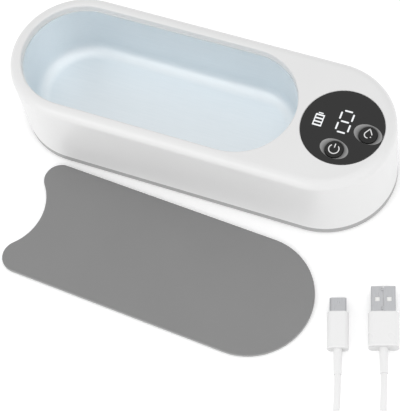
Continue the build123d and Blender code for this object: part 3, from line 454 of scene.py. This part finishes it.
# Rolled-thread steel under bright zinc: cool grey, with soft broken glints.
screw_finish = plated("bright_zinc_plated_steel", "#B8B9BC", "#9FA0A4", roughness=0.35,
                      line_mm=(1.0, 0.4))
dress(screw_finish, "case_screws", "panel_screws", "driver_screws")

# The step-up transformer is a pressed and fired ferrite core, soldered to the
# driver board. Its winding is wrapped in polyester tape and shows in the core's
# two notches.
core_low, core_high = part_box("step_up_transformer")
core_middle = (core_low + core_high) / 2
notch_half_width = 0.0038
notch_reach = 0.0052  # from the middle of the core to the inner end of each notch
notch_step = 0.0003  # of the mask below the middle, so that it takes the notch's floor
# Fired ferrite: charcoal and stony. The tape is amber and smoother.
core_finish = moulded("fired_ferrite", "#3A3A3D", "#2C2C2F", roughness=0.7, grain_mm=0.5,
                      grain_depth_mm=0.03, cloud_mm=4)
core_tree = core_finish.node_tree
in_notches = within(core_tree, X=(core_middle.x - notch_half_width, core_middle.x + notch_half_width),
                    Z=(core_middle.z - notch_step, core_high.z - skin))
between = within(core_tree, Y=(core_middle.y - notch_reach, core_middle.y + notch_reach))
taped = node(core_tree, "ShaderNodeMath", {0: in_notches, 1: between}, operation="SUBTRACT",
             use_clamp=True)
overlay(core_finish, taped.outputs[0], {"Base Color": linear("#C8922E"), "Roughness": 0.35})
dress(core_finish, "step_up_transformer")

# The filter capacitors are drawn aluminium cans in plain dark sleeves that are
# shrunk over their shoulders. The chips are moulded black epoxy, and both are
# soldered to the driver board.
can_top = 0.00012  # how far the bare top goes down the can
# Shrunk PVC sleeve: near black with a blue cast and a wet look. The can's top is
# bare and silvery.
can_finish = moulded("shrunk_dark_pvc", "#232A3C", "#1B2130", roughness=0.3, ior=1.54, cloud_mm=5)
can_top_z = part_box("filter_capacitors")[1].z
bare_top = within(can_finish.node_tree, Z=(can_top_z - can_top, can_top_z + skin))
overlay(can_finish, bare_top, {"Base Color": linear("#D0D2D4"), "Metallic": 1.0})
dress(can_finish, "filter_capacitors")
# Moulded epoxy: black and satin, with the sandy grain of its filler.
chip_finish = moulded("moulded_black_epoxy", "#202022", "#161618", roughness=0.5, ior=1.56,
                      grain_mm=0.4, grain_depth_mm=0.01, cloud_mm=4)
dress(chip_finish, "driver_chips")

# The charging socket is a folded nickel-plated shell, soldered to the board's
# edge. A moulded black tongue with gold contacts stands in it.
contact_pitch_mm = 0.5
contact_share = 0.5  # of each pitch that the contact takes
gold = "#D9A93C"


def stripes(tree, place, pitch_mm, share):
    """A mask that is 1 on a share of each pitch along a coordinate."""
    steps = node(tree, "ShaderNodeMath", {0: place, 1: per_metre(pitch_mm)}, operation="MULTIPLY")
    phase = node(tree, "ShaderNodeMath", {0: steps.outputs[0]}, operation="FRACT")
    return node(tree, "ShaderNodeMath", {0: phase.outputs[0], 1: share},
                operation="LESS_THAN").outputs[0]


socket_low, socket_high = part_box("usb_c_socket")
socket_middle = (socket_low + socket_high) / 2
tongue_half_width = 0.0034
tongue_half_height = 0.0004
tongue_back = 0.0061  # from the mouth of the socket
tongue_front = 0.0013
# Folded steel under nickel: bright and neutral, with drawn lines along the
# board's edge.
socket_finish = plated("folded_nickel_steel", "#C9CACC", "#BBBCBF", roughness=0.30)
socket_tree = socket_finish.node_tree
on_tongue = within(
    socket_tree,
    X=(socket_middle.x - tongue_half_width, socket_middle.x + tongue_half_width),
    Y=(socket_high.y - tongue_back, socket_high.y - tongue_front),
    Z=(socket_middle.z - tongue_half_height, socket_middle.z + tongue_half_height),
)
overlay(socket_finish, on_tongue, {
    "Base Color": linear("#151515"), "Metallic": 0.0, "Roughness": 0.45,
})
socket_stripes = stripes(socket_tree, along(socket_tree, "X"), contact_pitch_mm, contact_share)
socket_contacts = node(socket_tree, "ShaderNodeMath", {0: on_tongue, 1: socket_stripes},
                       operation="MULTIPLY")
overlay(socket_finish, socket_contacts.outputs[0], {"Base Color": linear(gold), "Metallic": 1.0})
dress(socket_finish, "usb_c_socket")

# The tank is deep drawn from stainless sheet and left satin. Its flange is
# clamped under the housing's lip on a silicone ring, and the transducer is
# bonded to its underside.

# Satin stainless: pale and cool from what stands round it, with lines 0.6 mm
# wide. Real ones are 0.1 mm and are drawn coarser, so that they show.
tank_finish = plated("satin_drawn_stainless", "#EFF4F7", "#E6EDF1", roughness=0.55,
                     line_mm=(14.0, 0.6))
dress(tank_finish, "tank")
# Moulded silicone: milky and dull.
seal_finish = moulded("moulded_milky_silicone", "#E2E2E0", "#D8D8D6", roughness=0.6, ior=1.41)
dress(seal_finish, "tank_seal")
# Pressed and fired lead ceramic: tan and chalky at its edge. Both faces carry a
# fired silver layer, which is whitish and half dull.
disc_low, disc_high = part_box("transducer")
electrode_depth = 0.00015  # how far the silver goes down the disc's side
disc_finish = moulded("fired_piezo_ceramic", "#CDBFA4", "#C2B397", roughness=0.7, grain_mm=0.5,
                      grain_depth_mm=0.015, cloud_mm=6)
disc_faces = outside(disc_finish.node_tree,
                     Z=(disc_low.z + electrode_depth, disc_high.z - electrode_depth))
overlay(disc_finish, disc_faces, {
    "Base Color": linear("#D6D6D2"), "Metallic": 0.8, "Roughness": 0.45,
})
dress(disc_finish, "transducer")

# The upper housing is one white ABS moulding. Its deck, its walls and the lip
# round the tank's opening are made in one shot, and screws pull the base plate
# up to it.

# Satin ABS from a lightly eroded mould: an even white that turns grey softly as
# it curves away. The grain is about 0.1 mm and is drawn at 0.35 mm, so that it
# shows.
housing_finish = moulded("satin_white_abs", "#DEDEDE", "#DADADA", roughness=0.34)
dress(housing_finish, "upper_housing")

# On the control board sit the diodes behind the symbols and two push switches,
# and a flat ribbon comes up to it from the driver board through two connectors.

# Moulded white polyphthalamide: a clean matt white. The phosphor in its top is
# yellow and glossy.
led_top_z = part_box("panel_leds")[1].z
led_finish = moulded("moulded_white_polyphthalamide", "#ECECE8", "#E2E2DE", roughness=0.4,
                     cloud_mm=3)
phosphor = within(led_finish.node_tree, Z=(led_top_z - skin, led_top_z + skin))
overlay(led_finish, phosphor, {"Base Color": linear("#EBD979"), "Roughness": 0.2})
dress(led_finish, "panel_leds")
# Glass-filled nylon: black and dull. A folded steel frame covers its top.
frame_depth = 0.0003
switch_top_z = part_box("power_switch")[1].z
switch_finish = moulded("filled_black_nylon", "#1C1C1C", "#141414", roughness=0.5, cloud_mm=4)
steel_frame = within(switch_finish.node_tree, Z=(switch_top_z - frame_depth, switch_top_z + skin))
overlay(switch_finish, steel_frame, {
    "Base Color": linear("#B7B8BA"), "Metallic": 1.0, "Roughness": 0.3,
})
dress(switch_finish, "power_switch", "mode_switch")
# Moulded acetal: a greyish white with a waxy shine.
plunger_finish = moulded("moulded_white_acetal", "#DEDEDA", "#D2D2CE", roughness=0.3, ior=1.48,
                         cloud_mm=3)
dress(plunger_finish, "power_plunger", "mode_plunger")
# Moulded nylon: cream and satin.
connector_finish = moulded("moulded_cream_nylon", "#EAE5D3", "#E0DAC6", roughness=0.42, cloud_mm=5)
dress(connector_finish, "ribbon_connectors")
# Laminated polyester film: white, with the flat conductors showing as grey
# lines a millimetre apart.
conductor_pitch_mm = 1.0
conductor_share = 0.6
ribbon_finish = moulded("laminated_polyester_film", "#EDEDEB", "#E5E5E3", roughness=0.35, ior=1.6,
                        cloud_mm=5)
ribbon_tree = ribbon_finish.node_tree
conductors = stripes(ribbon_tree, along(ribbon_tree, "Y"), conductor_pitch_mm, conductor_share)
overlay(ribbon_finish, conductors, {"Base Color": linear("#B9B9B6")})
dress(ribbon_finish, "panel_ribbon")

# Two milky light guides fill the digit and the battery symbol in the panel, and
# a white shroud under them keeps each symbol's light to itself.

# Moulded matt ABS, so that it scatters light: white and flat.
shroud_finish = moulded("matt_white_abs", "#F0F0EE", "#E8E8E6", roughness=0.7, cloud_mm=8)
dress(shroud_finish, "display_shroud")
# Diffusing polycarbonate lit by the diodes: bright white strokes with a faint
# unevenness of 2.5 mm. The charge bars are slots filled with black ink.
deck_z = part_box("panel_cover")[1].z
bar_top = 0.00015  # below the deck, of the ink in the charge bars
bar_foot = 0.001  # below the deck, past the floor of the slots
guide_finish = moulded("lit_milky_polycarbonate", "#F2F4F6", "#E4E6E8", roughness=0.3, ior=1.58,
                       cloud_mm=2.5,
                       more={"Emission Color": linear("#F2F5F8"), "Emission Strength": 0.08})
inked = within(guide_finish.node_tree, Z=(deck_z - bar_foot, deck_z - bar_top))
overlay(guide_finish, inked, {
    "Base Color": linear("#141414"), "Emission Color": linear("#000000"),
})
dress(guide_finish, "digit_light_guide", "gauge_light_guide")

# The panel cover is a disc of polished black acrylic, bonded in its recess. Its
# two finger dishes are cut after polishing and stay satin.

# Polished acrylic: near black with clear soft reflections. The cut dishes are
# satin; their grey is a painted sheen, lightest at their rims, with painted shade
# darker towards their floors.
dish_reach = 0.0078  # from the middle of a button to past its dish's rim
dish_top = 0.00003  # of the satin, below the deck
dish_depth = 0.0011
button_middles = {}
for name in ("power_button", "mode_button"):
    low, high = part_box(name)
    button_middles[name] = Vector(((low.x + high.x) / 2, (low.y + high.y) / 2, high.z))
panel_finish = moulded("polished_black_acrylic", "#171717", "#151515", roughness=0.13, ior=1.49,
                       grain_mm=9.0, grain_depth_mm=0.001, spread=0.03)
panel_tree = panel_finish.node_tree
panel_place = node(panel_tree, "ShaderNodeTexCoord").outputs["Object"]
near_buttons = []
for middle in button_middles.values():
    span = node(panel_tree, "ShaderNodeVectorMath", {0: panel_place, 1: middle}, operation="DISTANCE")
    near_buttons.append(node(panel_tree, "ShaderNodeMath", {0: span.outputs["Value"], 1: dish_reach},
                             operation="LESS_THAN"))
either = node(panel_tree, "ShaderNodeMath", {
    0: near_buttons[0].outputs[0], 1: near_buttons[1].outputs[0],
}, operation="MAXIMUM")
sunk = within(panel_tree, Z=(deck_z - 2 * dish_depth, deck_z - dish_top))
in_dish = node(panel_tree, "ShaderNodeMath", {0: either.outputs[0], 1: sunk}, operation="MULTIPLY")
depth = node(panel_tree, "ShaderNodeMapRange", {
    "Value": along(panel_tree, "Z"), "From Min": deck_z - dish_depth, "From Max": deck_z,
})
# Painted sheen and shade: the dishes are painted grey, darker with depth and lighter at the rim.
dish_painted_sheen_and_shade = node(panel_tree, "ShaderNodeMix", {
    "Factor": depth.outputs["Result"], colour_off: linear("#646464"), colour_on: linear("#969696"),
}, data_type="RGBA")
overlay(panel_finish, in_dish.outputs[0], {
    "Base Color": dish_painted_sheen_and_shade.outputs[colour_out], "Roughness": 0.38,
})
dress(panel_finish, "panel_cover")

# The two button caps are satin black ABS, held behind the cover by a flange.
# Their symbols are printed on with a pad: a power sign, and a drop drawn as an
# open line with a dot.

# Satin ABS: a deeper black than the panel, with broad dim reflections.
cap_finish = moulded("satin_black_abs", "#0B0B0B", "#080808", roughness=0.28, ior=1.45,
                     grain_mm=2.0, grain_depth_mm=0.001, spread=0.03)
dress(cap_finish, "power_button", "mode_button")
# Pad-printed ink: pale grey and flat, with a slight mottle of 1.5 mm.
ink_finish = moulded("pad_printed_grey_ink", "#E2E2E2", "#D8D8D8", roughness=0.5, cloud_mm=1.5)
ink_width = 0.0005
ink_height = 0.00004
arc_step = 10  # degrees
most_corners = 1000  # more than a print has
# In millimetres and degrees from a button's middle. The power sign is a ring
# with a gap, and a bar that stands in the gap.
ring_middle = (-0.1, 0.05)
ring_radius = 2.5
ring_ends = (130, 411)
power_bar_foot = (-0.1, 0.85)
power_bar_head = (-0.1, 3.05)
# The drop is two straight sides from a tip, and a round foot that is broken at
# its right to leave a dot.
drop_middle = (0.0, 0.05)
drop_radius = 1.8
drop_foot_ends = (148, 280)
drop_shoulder_ends = (8, 32)
drop_dot_ends = (317, 336)
side_foot_x, side_foot_y = 1.53, 1.0
side_head_x, side_head_y = 0.05, 3.5


def ink_tip(ink, place):
    """A face as wide and as high as a stroke, square to Y, at a place in millimetres."""
    unit_half = 0.5
    tip = bmesh.ops.create_grid(ink, x_segments=1, y_segments=1, size=unit_half)["verts"]
    bmesh.ops.scale(ink, verts=tip, vec=(ink_width, ink_height, 1))
    bmesh.ops.rotate(ink, verts=tip, matrix=Matrix.Rotation(math.radians(90), 3, "X"))
    bmesh.ops.translate(ink, verts=tip, vec=(place[0] / 1000, place[1] / 1000, ink_height / 2))
    return tip


def ink_bar(ink, start, end):
    """A straight stroke between two places in millimetres."""
    way = Vector(end) - Vector(start)
    tip = ink_tip(ink, (0, 0))
    drawn = bmesh.ops.extrude_face_region(ink, geom=tip[0].link_faces[:])["geom"]
    far = [part for part in drawn if isinstance(part, bmesh.types.BMVert)]
    bmesh.ops.translate(ink, verts=far, vec=(0, way.length / 1000, 0))
    turn = Matrix.Rotation(math.atan2(way.y, way.x) - math.pi / 2, 3, "Z")
    bmesh.ops.rotate(ink, verts=tip + far, matrix=turn)
    bmesh.ops.translate(ink, verts=tip + far, vec=(start[0] / 1000, start[1] / 1000, 0))


def ink_arc(ink, middle, radius, ends):
    """A round stroke, with its radius in millimetres and its ends in degrees."""
    first, last = ends
    before = len(ink.verts)
    tip = ink_tip(ink, (radius, 0))
    face = tip[0].link_faces[0]
    bmesh.ops.rotate(ink, verts=tip, matrix=Matrix.Rotation(math.radians(first), 3, "Z"))
    bmesh.ops.spin(ink, geom=tip + face.edges[:] + [face], axis=(0, 0, 1),
                   angle=math.radians(last - first), steps=round((last - first) / arc_step))
    ink.verts.ensure_lookup_table()
    bmesh.ops.translate(ink, verts=ink.verts[before:], vec=(middle[0] / 1000, middle[1] / 1000, 0))


def corner_order(face):
    """A number that puts faces in the order of their corners."""
    order = 0
    for corner in sorted(vertex.index for vertex in face.verts):
        order = order * most_corners + corner
    return order


ink_strokes = {
    "power_print": ("power_button", [
        (ink_arc, ring_middle, ring_radius, ring_ends),
        (ink_bar, power_bar_foot, power_bar_head),
    ]),
    "drop_print": ("mode_button", [
        (ink_arc, drop_middle, drop_radius, drop_foot_ends),
        (ink_bar, (-side_foot_x, side_foot_y), (side_head_x, side_head_y)),
        (ink_bar, (side_foot_x, side_foot_y), (-side_head_x, side_head_y)),
        (ink_arc, drop_middle, drop_radius, drop_shoulder_ends),
        (ink_arc, drop_middle, drop_radius, drop_dot_ends),
    ]),
}
for name, (button, strokes) in ink_strokes.items():
    ink = bmesh.new()
    for draw, *sizes in strokes:
        draw(ink, *sizes)
    bmesh.ops.holes_fill(ink, edges=ink.edges[:], sides=4)
    bmesh.ops.recalc_face_normals(ink, faces=ink.faces[:])
    # Extruding and spinning give faces in no fixed order, so they are put in one.
    ink.verts.index_update()
    ink.faces.sort(key=corner_order)
    bmesh.ops.translate(ink, verts=ink.verts[:], vec=button_middles[button])
    ink_data = bpy.data.meshes.new(name)
    ink.to_mesh(ink_data)
    ink.free()
    printed = bpy.data.objects.new(name, ink_data)
    bpy.context.scene.collection.objects.link(printed)
    dress(ink_finish, printed)
    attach(printed, button)

# The lid is a flat mid-grey ABS moulding with a shallow rib below, which drops
# into the tank's opening. It lies on the table in front of the body.

# Finely etched ABS: flat and glare-free on top. Its edge is left smooth and
# glossier, and is painted lighter as a painted highlight line. The etch is 0.15 mm
# and is drawn at 0.5 mm, so that it shows too.
lid_edge_depth = 0.00035
lid_low, lid_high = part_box("lid")
lid_finish = moulded("etched_grey_abs", "#828282", "#7D7D7D", roughness=0.55, grain_mm=0.5,
                     grain_depth_mm=0.008)
# Painted highlight: the edge below the top is painted a lighter grey.
lid_edge_painted_highlight = within(lid_finish.node_tree, Z=(lid_low.z - skin, lid_high.z - lid_edge_depth))
overlay(lid_finish, lid_edge_painted_highlight, {"Base Color": linear("#8E8E8E"), "Roughness": 0.35})
dress(lid_finish, "lid")

# Both plugs are gloss white polycarbonate, moulded over the ends of the cord and
# over folded nickel-plated shells. Each shell holds a moulded insert with its
# gold contacts.
plug_heading = math.radians(108.8)
across_plug = Vector((math.sin(plug_heading), -math.cos(plug_heading), 0))
# Moulded polycarbonate: a clean white with crisp soft-edged glints. The upright
# sides are painted a shade greyer than the faces, as painted shade.
plug_finish = moulded("gloss_white_polycarbonate", "#E7E7E7", "#E3E3E3", roughness=0.28, ior=1.58)
# Painted shade: the upright sides are painted a greyer tone.
plug_painted_side_shade = upright(plug_finish.node_tree, full=0.15, none=0.6)
overlay(plug_finish, plug_painted_side_shade, {"Base Color": linear("#D0D0D0")})
dress(plug_finish, "usb_c_overmould", "usb_a_overmould")
# Folded steel under nickel: neutral grey, with drawn lines along the plug. The
# lines are about 0.05 mm wide and are drawn at 0.3 mm, so that they show.
shell_finish = plated("folded_nickel_plated_steel", "#C9CACC", "#BBBCBF", roughness=0.30,
                      turn=plug_heading)
dress(shell_finish, "usb_c_shell", "usb_a_shell")


def across(tree, node_name):
    """The distance sideways from a plug's middle line."""
    low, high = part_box(node_name)
    place = node(tree, "ShaderNodeTexCoord").outputs["Object"]
    sideways = node(tree, "ShaderNodeVectorMath", {0: place, 1: across_plug}, operation="DOT_PRODUCT")
    middle = (low + high).dot(across_plug) / 2
    return node(tree, "ShaderNodeMath", {0: sideways.outputs["Value"], 1: middle},
                operation="SUBTRACT").outputs[0]


# Moulded PBT: white and satin in the large plug. Its four contacts are gold
# strips on the face towards the cavity.
contact_half_width = 0.00055
inner_contact = 0.001  # from the plug's middle line to the middle of the contact
outer_contact = 0.0035
a_face_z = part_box("usb_a_insert")[0].z
a_insert_finish = moulded("satin_white_pbt", "#F2F2F0", "#E8E8E6", roughness=0.4, ior=1.55,
                          cloud_mm=6)
a_tree = a_insert_finish.node_tree
sideways = node(a_tree, "ShaderNodeMath", {0: across(a_tree, "usb_a_insert")}, operation="ABSOLUTE")
strips = [
    node(a_tree, "ShaderNodeMath", {0: sideways.outputs[0], 1: offset, 2: contact_half_width},
         operation="COMPARE")
    for offset in (inner_contact, outer_contact)
]
four_strips = node(a_tree, "ShaderNodeMath", {0: strips[0].outputs[0], 1: strips[1].outputs[0]},
                   operation="ADD")
on_underside = within(a_tree, Z=(a_face_z - skin, a_face_z + skin))
a_contacts = node(a_tree, "ShaderNodeMath", {0: four_strips.outputs[0], 1: on_underside},
                  operation="MULTIPLY")
gold_contact = {"Base Color": linear(gold), "Metallic": 1.0, "Roughness": 0.25}
overlay(a_insert_finish, a_contacts.outputs[0], gold_contact)
dress(a_insert_finish, "usb_a_insert")
# Moulded black polyamide in the small plug, with gold contacts half a
# millimetre apart on both walls of its slot.
slot_half_height = 0.00042
c_low, c_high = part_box("usb_c_insert")
c_middle_z = (c_low.z + c_high.z) / 2
c_insert_finish = moulded("satin_black_polyamide", "#1A1A1A", "#131313", roughness=0.45, cloud_mm=5)
c_tree = c_insert_finish.node_tree
in_slot = within(c_tree, Z=(c_middle_z - slot_half_height, c_middle_z + slot_half_height))
c_stripes = stripes(c_tree, across(c_tree, "usb_c_insert"), contact_pitch_mm, contact_share)
c_contacts = node(c_tree, "ShaderNodeMath", {0: in_slot, 1: c_stripes}, operation="MULTIPLY")
overlay(c_insert_finish, c_contacts.outputs[0], gold_contact)
dress(c_insert_finish, "usb_c_insert")

# The box of the dressed part.
low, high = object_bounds()
